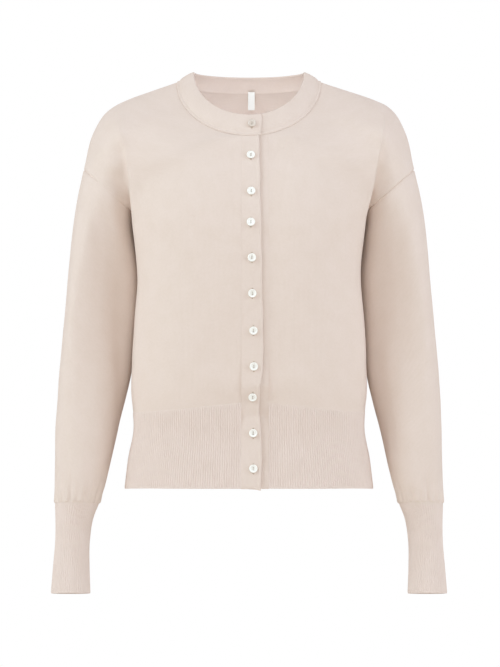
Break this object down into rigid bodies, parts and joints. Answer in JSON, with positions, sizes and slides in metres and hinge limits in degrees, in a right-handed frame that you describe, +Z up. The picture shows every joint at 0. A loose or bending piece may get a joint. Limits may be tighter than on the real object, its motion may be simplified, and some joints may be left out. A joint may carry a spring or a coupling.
{
  "type": "button cardigan",
  "caption": "Long-sleeved round-neck knitted button cardigan with drop shoulders, rib hem and long rib cuffs, in its worn shape.",
  "frame": {"origin": "between the two high shoulder points, at the neck, where the wearer's shoulders carry it", "axes": "+Z up towards the neck, +Y towards the wearer's back, +X towards the wearer's left"},
  "size_m": [0.546, 0.2247, 0.7301],
  "materials": {
    "jersey": "matte fine jersey knit",
    "rib": "matte one by one rib knit",
    "pearl": "pearl resin",
    "satin": "woven satin tape"
  },
  "bodies": {
    "root": {"right_front": "jersey", "left_front": "jersey", "back": "jersey", "sleeve_right": "jersey", "sleeve_left": "jersey", "hem_rib_right_front": "rib", "hem_rib_left_front": "rib", "hem_rib_back": "rib", "cuff_right": "rib", "cuff_left": "rib", "neckband": "jersey", "band_right": "jersey", "band_left": "jersey", "neck_label": "satin", "button_01": "pearl", "button_02": "pearl", "button_03": "pearl", "button_04": "pearl", "button_05": "pearl", "button_06": "pearl", "button_07": "pearl", "button_08": "pearl", "button_09": "pearl", "button_10": "pearl", "button_11": "pearl"}
  },
  "joints": []
}
